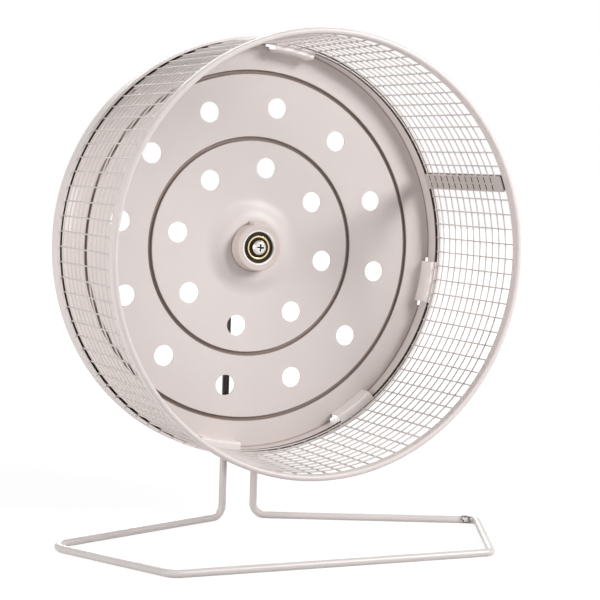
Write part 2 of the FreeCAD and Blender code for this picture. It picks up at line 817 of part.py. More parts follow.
def check_document():
    """Stop if any object failed or any sub-part is empty or invalid."""
    for item in doc.Objects:
        if "Invalid" in item.State or "Error" in item.State:
            raise RuntimeError(f"{item.Name} failed: {item.State}")
    for item in parts:
        if item.Shape.isNull() or not item.Shape.isValid() or not item.Shape.Solids:
            raise RuntimeError(f"{item.Label} has no valid shape")


def write_parts():
    os.makedirs("parts", exist_ok=True)
    for item in parts:
        item.Shape.exportStep(f"parts/{item.Label}.step")
        box = item.Shape.BoundBox
        print(f"{item.Label}: {len(item.Shape.Solids)} solids, {item.Shape.Volume:.1f} mm3, "
              f"{box.XLength:.1f} x {box.YLength:.1f} x {box.ZLength:.1f} mm")


make_rims()
make_hoops()
make_cross_wires()
make_seam()
make_back_disc()
make_housing()
make_bearing()
make_axle()
make_plate()
make_stand_rod()
doc.recompute()
check_document()
write_parts()
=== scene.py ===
import json
import math

import bmesh
import bpy
from mathutils import Matrix, Vector


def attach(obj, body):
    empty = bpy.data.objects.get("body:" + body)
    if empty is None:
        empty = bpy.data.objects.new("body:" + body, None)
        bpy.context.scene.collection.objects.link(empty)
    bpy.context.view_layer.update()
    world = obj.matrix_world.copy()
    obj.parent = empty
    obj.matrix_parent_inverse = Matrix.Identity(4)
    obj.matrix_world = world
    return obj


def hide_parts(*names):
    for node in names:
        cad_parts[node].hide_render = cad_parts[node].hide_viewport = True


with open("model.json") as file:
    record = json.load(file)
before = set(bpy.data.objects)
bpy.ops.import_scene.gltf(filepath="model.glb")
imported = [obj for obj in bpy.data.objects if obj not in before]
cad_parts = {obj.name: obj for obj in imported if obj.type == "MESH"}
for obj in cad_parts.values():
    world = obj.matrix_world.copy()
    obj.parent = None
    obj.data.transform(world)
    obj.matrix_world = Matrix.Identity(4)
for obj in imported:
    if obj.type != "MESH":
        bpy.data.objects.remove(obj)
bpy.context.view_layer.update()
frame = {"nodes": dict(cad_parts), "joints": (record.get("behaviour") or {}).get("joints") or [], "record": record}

bl_info = {
    "name": "Exercise Wheel",
    "version": (1, 0, 0),
    "blender": (4, 5, 0),
    "location": "View3D > Sidebar > Exercise Wheel",
    "description": "Finished pieces, coatings and studio for a wire-mesh exercise wheel on a rod stand",
    "category": "Object",
}

MM = 0.001
AXLE = Vector(frame["joints"][0]["pos_m"])
DRUM_AXIS = Vector(frame["joints"][0]["axis"])
ACROSS = Vector((1.0, 0.0, 0.0))
DRUM_UP = ACROSS.cross(DRUM_AXIS)

# Facets of the round pieces
WIRE_SIDES = 8
WIRE_SMOOTH_ANGLE = 80.0
HOOP_STEPS = 176
RIM_STEPS = 192

# Floor, lamps and camera
FLOOR_HALF_WIDTH = 6.0
LAMP_TARGET = (0.0, -0.06, 0.17)
KEY_PLACE, KEY_SIZE = (0.87, -1.15, 0.95), (0.65, 0.65)
FILL_PLACE, FILL_SIZE = (-1.55, -0.24, 0.36), (0.3, 1.1)
BACK_PLACE, BACK_SIZE = (0.45, 1.55, 0.75), (0.9, 0.9)
SENSOR_WIDTH = 36.0


# Sizes, colours and studio settings


class WheelSizes(bpy.types.PropertyGroup):
    """Sizes of the pieces that are finished here"""

    wire_diameter: bpy.props.FloatProperty(
        name="Wire", description="Diameter of the coated mesh wires",
        default=1.0 * MM, unit="LENGTH", precision=5)
    hoop_radius: bpy.props.FloatProperty(
        name="Hoop radius", description="Radius of the hoop wires' centre line",
        default=138.0 * MM, unit="LENGTH")
    hoop_first: bpy.props.FloatProperty(
        name="First hoop", description="Distance of the rearmost hoop from the disc",
        default=14.0 * MM, unit="LENGTH")
    hoop_pitch: bpy.props.FloatProperty(
        name="Hoop pitch", description="Distance between hoops", default=8.25 * MM, unit="LENGTH")
    hoop_count: bpy.props.IntProperty(name="Hoops", description="Number of hoop wires", default=12)
    cross_wire_radius: bpy.props.FloatProperty(
        name="Cross wire radius", description="Radius at which the cross wires lie",
        default=139.05 * MM, unit="LENGTH")
    cross_wire_count: bpy.props.IntProperty(
        name="Cross wires", description="Number of cross wires", default=87)
    mesh_span: bpy.props.FloatProperty(
        name="Mesh span", description="Angle that the mesh covers from seam to seam",
        default=math.radians(350.3), subtype="ANGLE")
    seam_angle: bpy.props.FloatProperty(
        name="Seam", description="Angle of the mesh seam from the top, towards the right",
        default=math.radians(69.4), subtype="ANGLE")
    drum_radius: bpy.props.FloatProperty(
        name="Drum radius", description="Outer radius of the rims", default=141.5 * MM, unit="LENGTH")
    drum_depth: bpy.props.FloatProperty(
        name="Drum depth", description="Depth of the drum from the disc to the front rim",
        default=120.3 * MM, unit="LENGTH")
    rim_gauge: bpy.props.FloatProperty(
        name="Rim gauge", description="Thickness of the rims' sheet",
        default=0.7 * MM, unit="LENGTH", precision=5)
    rear_width: bpy.props.FloatProperty(
        name="Rear width", description="Width of the rear rim", default=11.0 * MM, unit="LENGTH")
    rear_lip: bpy.props.FloatProperty(
        name="Rear lip", description="Reach of the rear rim's lip past its inner wall",
        default=1.8 * MM, unit="LENGTH", precision=5)
    front_width: bpy.props.FloatProperty(
        name="Front width", description="Width of the front rim", default=6.6 * MM, unit="LENGTH")
    wire_end_gap: bpy.props.FloatProperty(
        name="Wire end gap", description="From the rims' outer faces to the ends of the cross wires",
        default=0.75 * MM, unit="LENGTH", precision=5)
    rim_fold: bpy.props.FloatProperty(
        name="Rim fold", description="Rounding of the rims' folded edges",
        default=0.34 * MM, unit="LENGTH", precision=5)
    front_fold: bpy.props.FloatProperty(
        name="Front fold", description="Rounding of the front rim's front edges",
        default=1.6 * MM, unit="LENGTH", precision=5)
    wall_radius: bpy.props.FloatProperty(
        name="Inner wall", description="Inner radius of the rims", default=137.8 * MM, unit="LENGTH")
    grip_radius: bpy.props.FloatProperty(
        name="Grip", description="Radius of the rims' lips over the cross wires",
        default=139.6 * MM, unit="LENGTH")
    seam_width: bpy.props.FloatProperty(
        name="Seam width", description="Width of the seam strips", default=11.0 * MM, unit="LENGTH")
    collar_radius: bpy.props.FloatProperty(
        name="Housing", description="Outer radius of the bearing housing", default=16.3 * MM, unit="LENGTH")
    lip_radius: bpy.props.FloatProperty(
        name="Housing lip", description="Inner radius of the housing's lip",
        default=10.7 * MM, unit="LENGTH")
    cup_radius: bpy.props.FloatProperty(
        name="Bush cup", description="Radius of the cup in the brass bush", default=7.0 * MM, unit="LENGTH")
    recess_radius: bpy.props.FloatProperty(
        name="Screw recess", description="Reach of the screw's cross recess",
        default=2.7 * MM, unit="LENGTH")
    edge_rounding: bpy.props.FloatProperty(
        name="Edge rounding", description="Rounding of coated sheet edges",
        default=0.18 * MM, unit="LENGTH", precision=5)
    fine_rounding: bpy.props.FloatProperty(
        name="Fine rounding", description="Rounding of the hub's edges and of the slotted strip",
        default=0.108 * MM, unit="LENGTH", precision=6)


class WheelColours(bpy.types.PropertyGroup):
    """Colours of the coatings and metals, and of the painted shade and highlights"""

    coat: bpy.props.FloatVectorProperty(
        name="Coat", description="Powder coat on the sheet", default=(0.70, 0.632, 0.612), subtype="COLOR")
    # Painted light: the hook tabs get a lighter tone than the rest of the coat.
    painted_tab_light: bpy.props.FloatVectorProperty(
        name="Tab coat", description="Thicker coat on the hook tabs",
        default=(0.82, 0.75, 0.73), subtype="COLOR")
    wire_coat: bpy.props.FloatVectorProperty(
        name="Wire coat", description="Powder coat on the mesh wires",
        default=(0.61, 0.548, 0.528), subtype="COLOR")
    rod_coat: bpy.props.FloatVectorProperty(
        name="Rod coat", description="Powder coat on the stand",
        default=(0.66, 0.605, 0.588), subtype="COLOR")
    seam_coat: bpy.props.FloatVectorProperty(
        name="Seam coat", description="Powder coat on the seam strips",
        default=(0.54, 0.48, 0.46), subtype="COLOR")
    housing_coat: bpy.props.FloatVectorProperty(
        name="Housing coat", description="Coat on the bearing housing",
        default=(0.64, 0.55, 0.515), subtype="COLOR")
    # Painted shade: a brownish tone in the disc's grooves, at the rear rim's foot and round the housing.
    groove_shade: bpy.props.FloatVectorProperty(
        name="Groove", description="Thin brownish coat in the disc's grooves",
        default=(0.27, 0.205, 0.180), subtype="COLOR")
    # Painted shade, the darkest tone: the rear rim's fold, the seam strip's slots, the screw's recess, the bush's
    # cup and the uprights' disc-facing side; also the real scorch on the rod's weld.
    shade_and_scorch: bpy.props.FloatVectorProperty(
        name="Crevice", description="Bare dark metal where no coat reaches",
        default=(0.030, 0.020, 0.017), subtype="COLOR")
    # Painted highlight: a near-white tone on the inner edge of the bearing housing.
    lip_highlight: bpy.props.FloatVectorProperty(
        name="Worn coat", description="Bright edge of the bearing housing",
        default=(0.95, 0.92, 0.90), subtype="COLOR")
    steel: bpy.props.FloatVectorProperty(
        name="Plated steel", description="Bright plate on screw, nut and washer",
        default=(0.70, 0.69, 0.66), subtype="COLOR")
    bearing: bpy.props.FloatVectorProperty(
        name="Bearing steel", description="Ground steel of the bearing rings",
        default=(0.045, 0.037, 0.030), subtype="COLOR")
    brass: bpy.props.FloatVectorProperty(
        name="Brass", description="Turned brass of the bush", default=(0.74, 0.60, 0.33), subtype="COLOR")
    rubber: bpy.props.FloatVectorProperty(
        name="Seal", description="Rubber of the bearing seals",
        default=(0.018, 0.014, 0.012), subtype="COLOR")
    nylon: bpy.props.FloatVectorProperty(
        name="Cage", description="Plastic of the ball cage", default=(0.70, 0.66, 0.55), subtype="COLOR")


class StageSettings(bpy.types.PropertyGroup):
    """Camera and lights"""

    lens: bpy.props.FloatProperty(
        name="Lens", description="Focal length on a 36 mm sensor", default=109.936, min=10.0, unit="CAMERA")
    camera_place: bpy.props.FloatVectorProperty(
        name="Camera", description="Place of the camera",
        default=(-0.49921, -1.14582, 0.24320), subtype="TRANSLATION")
    azimuth: bpy.props.FloatProperty(
        name="Azimuth", description="Turn of the camera about the object",
        default=math.radians(-25.117), subtype="ANGLE")
    elevation: bpy.props.FloatProperty(
        name="Elevation", description="Camera's height angle", default=math.radians(4.07), subtype="ANGLE")
    roll: bpy.props.FloatProperty(
        name="Roll", description="Turn of the camera about its line of sight",
        default=math.radians(1.821), subtype="ANGLE")
    key_power: bpy.props.FloatProperty(
        name="Key light", description="Power of the large soft light", default=27.0, unit="POWER")
    fill_power: bpy.props.FloatProperty(
        name="Fill light", description="Power of the light on the left", default=18.0, unit="POWER")
    back_power: bpy.props.FloatProperty(
        name="Back light", description="Power of the light behind", default=13.0, unit="POWER")
    ambient: bpy.props.FloatProperty(
        name="Ambient", description="Strength of the even light from all round", default=0.06, min=0.0)


def sizes():
    return bpy.context.scene.exercise_wheel_sizes


def colours():
    return bpy.context.scene.exercise_wheel_colours


def stage_settings():
    return bpy.context.scene.exercise_wheel_stage


# Materials


def link(tree, source, target):
    tree.links.new(source, target)


def new_group(name, inputs, outputs):
    """Empty shader group with (name, socket type, default) inputs and (name, socket type) outputs."""
    tree = bpy.data.node_groups.new(name, "ShaderNodeTree")
    for label, kind, default in inputs:
        socket = tree.interface.new_socket(label, in_out="INPUT", socket_type=kind)
        socket.default_value = default
    for label, kind in outputs:
        tree.interface.new_socket(label, in_out="OUTPUT", socket_type=kind)
    return tree, tree.nodes.new("NodeGroupInput"), tree.nodes.new("NodeGroupOutput")


def math_node(tree, operation, first, second=None):
    node = tree.nodes.new("ShaderNodeMath")
    node.operation = operation
    for socket, value in zip(node.inputs, (first, second)):
        if value is None:
            continue
        if isinstance(value, (int, float)):
            socket.default_value = value
        else:
            link(tree, value, socket)
    return node.outputs[0]


def all_of(tree, *masks):
    """Product of the masks: 1 only where every mask is 1."""
    whole = masks[0]
    for mask in masks[1:]:
        whole = math_node(tree, "MULTIPLY", whole, mask)
    return whole


def coat_group():
    """Powder coat: faint mottling of the colour and roughness, and the fine peel of the surface."""
    known = bpy.data.node_groups.get("powder_coat")
    if known:
        return known
    tree, given, made = new_group(
        "powder_coat",
        [("Colour", "NodeSocketColor", (0.7, 0.63, 0.61, 1.0)), ("Mottle", "NodeSocketFloat", 0.05),
         ("Roughness", "NodeSocketFloat", 0.42)],
        [("Colour", "NodeSocketColor"), ("Roughness", "NodeSocketFloat"), ("Peel", "NodeSocketFloat")],
    )
    place = tree.nodes.new("ShaderNodeTexCoord")
    patches = tree.nodes.new("ShaderNodeTexNoise")
    patches.inputs["Scale"].default_value = 28.0
    patches.inputs["Detail"].default_value = 3.0
    link(tree, place.outputs["Object"], patches.inputs["Vector"])
    peel = tree.nodes.new("ShaderNodeTexNoise")
    peel.inputs["Scale"].default_value = 900.0
    peel.inputs["Detail"].default_value = 1.0
    link(tree, place.outputs["Object"], peel.inputs["Vector"])
    centred = math_node(tree, "SUBTRACT", patches.outputs["Fac"], 0.5)
    swing = math_node(tree, "MULTIPLY", centred, given.outputs["Mottle"])
    level = math_node(tree, "ADD", swing, 1.0)
    tone = tree.nodes.new("ShaderNodeVectorMath")
    tone.operation = "SCALE"
    link(tree, given.outputs["Colour"], tone.inputs[0])
    link(tree, level, tone.inputs["Scale"])
    link(tree, tone.outputs[0], made.inputs["Colour"])
    link(tree, math_node(tree, "ADD", given.outputs["Roughness"], swing), made.inputs["Roughness"])
    link(tree, peel.outputs["Fac"], made.inputs["Peel"])
    return tree


def dot_product(tree, vector, direction):
    node = tree.nodes.new("ShaderNodeVectorMath")
    node.operation = "DOT_PRODUCT"
    link(tree, vector, node.inputs[0])
    node.inputs[1].default_value = direction
    return node.outputs["Value"]


def drum_place_group():
    """Millimetres from the axle, along it and beside the seam, and how far a face looks to the back."""
    known = bpy.data.node_groups.get("drum_place")
    if known:
        return known
    tree, _, made = new_group(
        "drum_place", [], [(name, "NodeSocketFloat") for name in ("Radius", "Station", "Seam", "Facing")])
    place = tree.nodes.new("ShaderNodeTexCoord")
    moved = tree.nodes.new("ShaderNodeVectorMath")
    moved.operation = "SUBTRACT"
    moved.inputs[1].default_value = AXLE
    link(tree, place.outputs["Object"], moved.inputs[0])
    scaled = tree.nodes.new("ShaderNodeVectorMath")
    scaled.operation = "SCALE"
    scaled.inputs["Scale"].default_value = 1.0 / MM
    link(tree, moved.outputs[0], scaled.inputs[0])
    aside = dot_product(tree, scaled.outputs[0], ACROSS)
    height = dot_product(tree, scaled.outputs[0], DRUM_UP)
    aside_square = math_node(tree, "MULTIPLY", aside, aside)
    height_square = math_node(tree, "MULTIPLY", height, height)
    square = math_node(tree, "ADD", aside_square, height_square)
    link(tree, math_node(tree, "SQRT", square), made.inputs["Radius"])
    link(tree, dot_product(tree, scaled.outputs[0], DRUM_AXIS), made.inputs["Station"])
    angle = sizes().seam_angle
    beside_seam = ACROSS * math.cos(angle) - DRUM_UP * math.sin(angle)
    link(tree, dot_product(tree, scaled.outputs[0], beside_seam), made.inputs["Seam"])
    link(tree, dot_product(tree, place.outputs["Normal"], DRUM_AXIS), made.inputs["Facing"])
    return tree


def add_group(tree, group):
    node = tree.nodes.new("ShaderNodeGroup")
    node.node_tree = group
    return node


def ramp_between(tree, value, start, full):
    """0 up to start, 1 from full on and straight between them; start may be the larger value."""
    node = tree.nodes.new("ShaderNodeMapRange")
    node.inputs["From Min"].default_value = start
    node.inputs["From Max"].default_value = full
    link(tree, value, node.inputs["Value"])
    return node.outputs["Result"]


def mix_colour(tree, mask, first, second):
    node = tree.nodes.new("ShaderNodeMix")
    node.data_type = "RGBA"
    link(tree, mask, node.inputs["Factor"])
    for socket, value in ((node.inputs["A"], first), (node.inputs["B"], second)):
        if isinstance(value, bpy.types.NodeSocket):
            link(tree, value, socket)
        else:
            socket.default_value = (*value, 1.0)
    return node.outputs["Result"]


def bare_material(name):
    material = bpy.data.materials.new(name)
    material.use_nodes = True
    return material, material.node_tree, material.node_tree.nodes["Principled BSDF"]


def coat_material(name, colour, roughness=0.42, patches=()):
    """Powder-coated steel; each patch is a mask and the tone that shows where the mask is 1."""
    known = bpy.data.materials.get(name)
    if known:
        return known
    material, tree, shader = bare_material(name)
    coat = add_group(tree, coat_group())
    coat.inputs["Colour"].default_value = (*colour, 1.0)
    coat.inputs["Roughness"].default_value = roughness
    tone = coat.outputs["Colour"]
    for mask, patch_tone in patches:
        tone = mix_colour(tree, mask(tree), tone, patch_tone)
    link(tree, tone, shader.inputs["Base Color"])
    link(tree, coat.outputs["Roughness"], shader.inputs["Roughness"])
    bump = tree.nodes.new("ShaderNodeBump")
    bump.inputs["Strength"].default_value = 0.06
    bump.inputs["Distance"].default_value = 0.1 * MM
    link(tree, coat.outputs["Peel"], bump.inputs["Height"])
    link(tree, bump.outputs["Normal"], shader.inputs["Normal"])
    return material


def groove_shade_mask(tree):
    """Painted shade on the disc's front: in the grooves, at the rear rim and round the housing."""
    place = add_group(tree, drum_place_group())
    radius = place.outputs["Radius"]
    wall, collar = sizes().wall_radius / MM, sizes().collar_radius / MM
    groove_top, groove_floor, turned_front = 0.25, 1.3, -0.02
    rim_corner, collar_corner, corner_blend, corner_share = 0.6, 0.3, 0.6, 0.6
    deep = ramp_between(tree, place.outputs["Station"], groove_top, groove_floor)
    outer = ramp_between(tree, radius, wall - rim_corner - corner_blend, wall - rim_corner)
    inner = ramp_between(tree, radius, collar + collar_corner + corner_blend, collar + collar_corner)
    corners = math_node(tree, "MULTIPLY", math_node(tree, "MAXIMUM", outer, inner), corner_share)
    shaded = math_node(tree, "MAXIMUM", deep, corners)
    front = math_node(tree, "LESS_THAN", place.outputs["Facing"], turned_front)
    return all_of(tree, shaded, front)


def tab_mask(tree):
    """The hook tabs, which stand in front of the disc and get a lighter tone as painted light."""
    place = add_group(tree, drum_place_group())
    tab_foot, tab_clear, tab_band = -0.4, -1.2, 12.0
    ahead = ramp_between(tree, place.outputs["Station"], tab_foot, tab_clear)
    at_rim = math_node(tree, "GREATER_THAN", place.outputs["Radius"], sizes().wall_radius / MM - tab_band)
    return all_of(tree, ahead, at_rim)


def seam_mask(tree):
    """Painted shade on the walls of the slots in the inner seam strip and on what shows through them."""
    size = sizes()
    place = add_group(tree, drum_place_group())
    radius, station = place.outputs["Radius"], place.outputs["Station"]
    coat_skin, strip_skin, side_margin, end_margin = 0.12, 0.1, 0.6, 1.0
    corners = [vertex.co - AXLE for vertex in frame["nodes"]["seam_inner_strip"].data.vertices]
    face = min(math.hypot(corner.dot(ACROSS), corner.dot(DRUM_UP)) for corner in corners)
    rear_end = size.rear_width / MM + end_margin
    front_end = (size.drum_depth - size.front_width) / MM - end_margin
    beside = math_node(tree, "ABSOLUTE", place.outputs["Seam"])
    return all_of(
        tree,
        math_node(tree, "GREATER_THAN", radius, face / MM + coat_skin),
        math_node(tree, "LESS_THAN", radius, size.grip_radius / MM + strip_skin),
        math_node(tree, "LESS_THAN", beside, size.seam_width / 2 / MM - side_margin),
        math_node(tree, "LESS_THAN", station, -rear_end),
        math_node(tree, "GREATER_THAN", station, -front_end))


def channel_mask(tree):
    """Painted shade inside the rear rim's fold and on the edge of its inner wall."""
    size = sizes()
    place = add_group(tree, drum_place_group())
    radius, station = place.outputs["Radius"], place.outputs["Station"]
    coat_skin, shaded_edge, end_skin, grip_skin = 0.08, 1.0, 0.1, 0.02
    half_gauge = size.rim_gauge / 2 / MM
    wall_end = -size.rear_width / MM
    lip_end = wall_end - size.rear_lip / MM
    behind_wall = math_node(tree, "GREATER_THAN", radius, size.wall_radius / MM + coat_skin)
    at_edge = math_node(tree, "LESS_THAN", station, wall_end + shaded_edge)
    past_wall = math_node(tree, "MAXIMUM", behind_wall, at_edge)
    inside = math_node(tree, "LESS_THAN", radius, size.drum_radius / MM - half_gauge)
    under_grip = math_node(tree, "LESS_THAN", radius, size.grip_radius / MM - grip_skin)
    in_width = math_node(tree, "GREATER_THAN", station, wall_end - end_skin)
    inward = ramp_between(tree, station, lip_end, lip_end + half_gauge)
    deep = math_node(tree, "MAXIMUM", inward, all_of(tree, under_grip, in_width))
    before_web = math_node(tree, "LESS_THAN", station, -half_gauge)
    return all_of(tree, past_wall, inside, deep, before_web)


def cup_mask(tree):
    """Painted shade in the bush's cup round the screw head."""
    place = add_group(tree, drum_place_group())
    cup, blend = sizes().cup_radius / MM, 0.15
    return ramp_between(tree, place.outputs["Radius"], cup, cup - blend)


def lip_mask(tree):
    """Painted highlight on the inner edge of the bearing housing's face."""
    place = add_group(tree, drum_place_group())
    lip, bright_width, blend = sizes().lip_radius / MM, 0.7, 0.6
    return ramp_between(tree, place.outputs["Radius"], lip + bright_width + blend, lip + bright_width)


def recess_mask(tree):
    """Painted shade on the walls and floor of the cross recess in the axle screw's head."""
    place = add_group(tree, drum_place_group())
    recess_top, recess_dark = 0.1, 0.4
    corners = [vertex.co - AXLE for vertex in frame["nodes"]["axle_screw"].data.vertices]
    face = min(corner.dot(DRUM_AXIS) for corner in corners) / MM
    deep = ramp_between(tree, place.outputs["Station"], face + recess_top, face + recess_dark)
    within = math_node(tree, "LESS_THAN", place.outputs["Radius"], sizes().recess_radius / MM)
    return all_of(tree, deep, within)


def weld_mask(tree):
    """Scorched specks on the weld that closes the rod's loop."""
    scorch_edge, scorch_full = 5.5 * MM, 3.5 * MM
    speck_edge, speck_full = 0.44, 0.54
    corners = [vertex.co for vertex in frame["nodes"]["rod_butt_weld"].data.vertices]
    place = tree.nodes.new("ShaderNodeTexCoord")
    gap = tree.nodes.new("ShaderNodeVectorMath")
    gap.operation = "DISTANCE"
    gap.inputs[1].default_value = sum(corners, Vector()) / len(corners)
    link(tree, place.outputs["Object"], gap.inputs[0])
    specks = tree.nodes.new("ShaderNodeTexNoise")
    specks.inputs["Scale"].default_value = 620.0
    specks.inputs["Detail"].default_value = 2.0
    link(tree, place.outputs["Object"], specks.inputs["Vector"])
    near = ramp_between(tree, gap.outputs["Value"], scorch_edge, scorch_full)
    return all_of(tree, near, ramp_between(tree, specks.outputs["Fac"], speck_edge, speck_full))


def rod_mask(tree):
    """The weld's specks, and painted shade on the side of the uprights that faces the disc."""
    place = add_group(tree, drum_place_group())
    disc_clear, rim_margin, turned_aside, turned_to_disc = 4.0, 8.0, -0.1, -0.35
    behind = math_node(tree, "GREATER_THAN", place.outputs["Station"], disc_clear)
    covered = math_node(tree, "LESS_THAN", place.outputs["Radius"], sizes().wall_radius / MM - rim_margin)
    facing = ramp_between(tree, place.outputs["Facing"], turned_aside, turned_to_disc)
    return math_node(tree, "MAXIMUM", all_of(tree, behind, covered, facing), weld_mask(tree))


def metal_material(name, colour, roughness, dark_mask=None):
    """Bare metal; dark_mask puts painted shade where it is 1."""
    known = bpy.data.materials.get(name)
    if known:
        return known
    material, tree, shader = bare_material(name)
    shader.inputs["Base Color"].default_value = (*colour, 1.0)
    shader.inputs["Metallic"].default_value = 1.0
    if dark_mask is not None:
        link(tree, mix_colour(tree, dark_mask(tree), colour, colours().shade_and_scorch), shader.inputs["Base Color"])
    coat = add_group(tree, coat_group())
    coat.inputs["Mottle"].default_value = 0.12
    coat.inputs["Roughness"].default_value = roughness
    link(tree, coat.outputs["Roughness"], shader.inputs["Roughness"])
    return material


def plain_material(name, colour, roughness, gloss=0.5):
    known = bpy.data.materials.get(name)
    if known:
        return known
    material, _, shader = bare_material(name)
    shader.inputs["Base Color"].default_value = (*colour, 1.0)
    shader.inputs["Roughness"].default_value = roughness
    shader.inputs["Specular IOR Level"].default_value = gloss
    return material


def finish_for(slot):
    """The material for one of the record's slots."""
    tone = colours()
    makers = {
        "sheet_coat": lambda: coat_material(
            "sheet coat", tone.coat, patches=((groove_shade_mask, tone.groove_shade), (tab_mask, tone.painted_tab_light))),
        "rim_coat": lambda: coat_material("rim coat", tone.coat, patches=((channel_mask, tone.shade_and_scorch),)),
        "wire_coat": lambda: coat_material("wire coat", tone.wire_coat, roughness=0.38),
        "seam_coat": lambda: coat_material("seam coat", tone.seam_coat, patches=((seam_mask, tone.shade_and_scorch),)),
        "rod_coat": lambda: coat_material(
            "rod coat", tone.rod_coat, roughness=0.34, patches=((rod_mask, tone.shade_and_scorch),)),
        "housing_coat": lambda: coat_material(
            "housing coat", tone.housing_coat, roughness=0.22, patches=((lip_mask, tone.lip_highlight),)),
        "plated_steel": lambda: metal_material("plated steel", tone.steel, 0.2, dark_mask=recess_mask),
        "bearing_steel": lambda: metal_material("bearing steel", tone.bearing, 0.28),
        "brass": lambda: metal_material("turned brass", tone.brass, 0.24, dark_mask=cup_mask),
        "seal_rubber": lambda: plain_material("seal rubber", tone.rubber, 0.35, gloss=0.2),
        "cage_plastic": lambda: plain_material("cage nylon", tone.nylon, 0.5),
    }
    return makers[slot]()


def slot_of(node):
    return next(row["material_slot"] for row in frame["record"]["subparts"] if row["node"] == node)


def body_of(node):
    bodies = frame["record"]["behaviour"]["bodies"]
    return next(name for name, members in bodies.items() if node in members)


# Shapes


def finished_piece(shape, node, smooth_angle=40.0):
    """Make the object for a CAD node's finished shape: shading, body, slot and material."""
    name = f"{node}_finish"
    for face in shape.faces:
        face.smooth = True
    for edge in shape.edges:
        edge.smooth = edge.calc_face_angle(0.0) < math.radians(smooth_angle)
    mesh = bpy.data.meshes.new(name)
    shape.to_mesh(mesh)
    shape.free()
    piece = bpy.data.objects.new(name, mesh)
    bpy.context.scene.collection.objects.link(piece)
    even = piece.modifiers.new("even flats", "WEIGHTED_NORMAL")
    even.keep_sharp = True
    slot = slot_of(node)
    mesh.materials.append(finish_for(slot))
    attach(piece, body_of(node))
    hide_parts(node)


def softened_node(node, rounding):
    """Finish a merged copy of a CAD node with its sharp edges rounded."""
    merge_gap, flat_angle, sharp_angle = 0.001 * MM, math.radians(0.2), math.radians(30.0)
    shape = bmesh.new()
    shape.from_mesh(frame["nodes"][node].data)
    bmesh.ops.remove_doubles(shape, verts=shape.verts, dist=merge_gap)
    bmesh.ops.dissolve_limit(
        shape, angle_limit=flat_angle, verts=shape.verts, edges=shape.edges,
        use_dissolve_boundaries=False)
    sharp = [edge for edge in shape.edges if edge.calc_face_angle(0.0) > sharp_angle]
    bmesh.ops.bevel(
        shape, geom=sharp, offset=rounding, offset_type="OFFSET", segments=2, profile=0.5,
        affect="EDGES", clamp_overlap=True, material=-1)
    finished_piece(shape, node)


def axle_point(station, radius):
    """Point above the axle, at a station along it and a radius from it."""
    return AXLE + DRUM_AXIS * station + DRUM_UP * radius


def spun_profile(shape, corners, roundings):
    """Spin a closed profile of (station, radius) corners about the axle, each corner with its rounding."""
    verts = [shape.verts.new(axle_point(*corner)) for corner in corners]
    for start, end in zip(verts, verts[1:] + verts[:1]):
        shape.edges.new((start, end))
    for rounding in sorted(set(roundings)):
        alike = [vert for vert, own in zip(verts, roundings) if own == rounding]
        bmesh.ops.bevel(
            shape, geom=alike, offset=rounding, offset_type="OFFSET", segments=4, profile=0.5,
            affect="VERTICES", clamp_overlap=True, material=-1)
    bmesh.ops.spin(
        shape, geom=list(shape.edges), cent=AXLE, axis=DRUM_AXIS, angle=math.tau, steps=RIM_STEPS,
        use_merge=True)
    bmesh.ops.recalc_face_normals(shape, faces=shape.faces)


def wire_ring(shape, centre, across, along, radius):
    """Circle of points round a wire's centre."""
    turn = across.cross(along)
    place = Matrix.Translation(centre) @ Matrix((across, turn, along)).transposed().to_4x4()
    bmesh.ops.create_circle(shape, cap_ends=False, radius=radius, segments=WIRE_SIDES, matrix=place)


def rim_profile(web, reach, lip_reach):
    """Corners of a folded rim: its web, the outer wall with the lip over the wires, and the inner wall."""
    size = sizes()
    gauge = math.copysign(size.rim_gauge, reach)
    edge, lip = web + reach, web + lip_reach
    outer_face = size.drum_radius - size.rim_gauge
    inner_face = size.wall_radius + size.rim_gauge
    return [
        (web, size.wall_radius), (web, size.drum_radius), (lip, size.drum_radius), (lip, size.grip_radius),
        (lip - gauge, size.grip_radius), (lip - gauge, outer_face), (web + gauge, outer_face),
        (web + gauge, inner_face), (edge, inner_face), (edge, size.wall_radius),
    ]


class EXERCISE_WHEEL_OT_hoop_wires(bpy.types.Operator):
    """Round hoop wires of the running surface"""

    bl_idname = "exercise_wheel.hoop_wires"
    bl_label = "Hoop Wires"

    def execute(self, context):
        size = sizes()
        whole = bmesh.new()
        for index in range(size.hoop_count):
            station = -(size.hoop_first + index * size.hoop_pitch)
            hoop = bmesh.new()
            wire_ring(hoop, axle_point(station, size.hoop_radius), DRUM_UP, ACROSS, size.wire_diameter / 2)
            bmesh.ops.spin(
                hoop, geom=list(hoop.edges), cent=AXLE, axis=DRUM_AXIS, angle=math.tau, steps=HOOP_STEPS,
                use_merge=True)
            bmesh.ops.recalc_face_normals(hoop, faces=hoop.faces)
            made = bpy.data.meshes.new("hoop")
            hoop.to_mesh(made)
            hoop.free()
            whole.from_mesh(made)
            bpy.data.meshes.remove(made)
        finished_piece(whole, "mesh_hoops", smooth_angle=WIRE_SMOOTH_ANGLE)
        return {"FINISHED"}


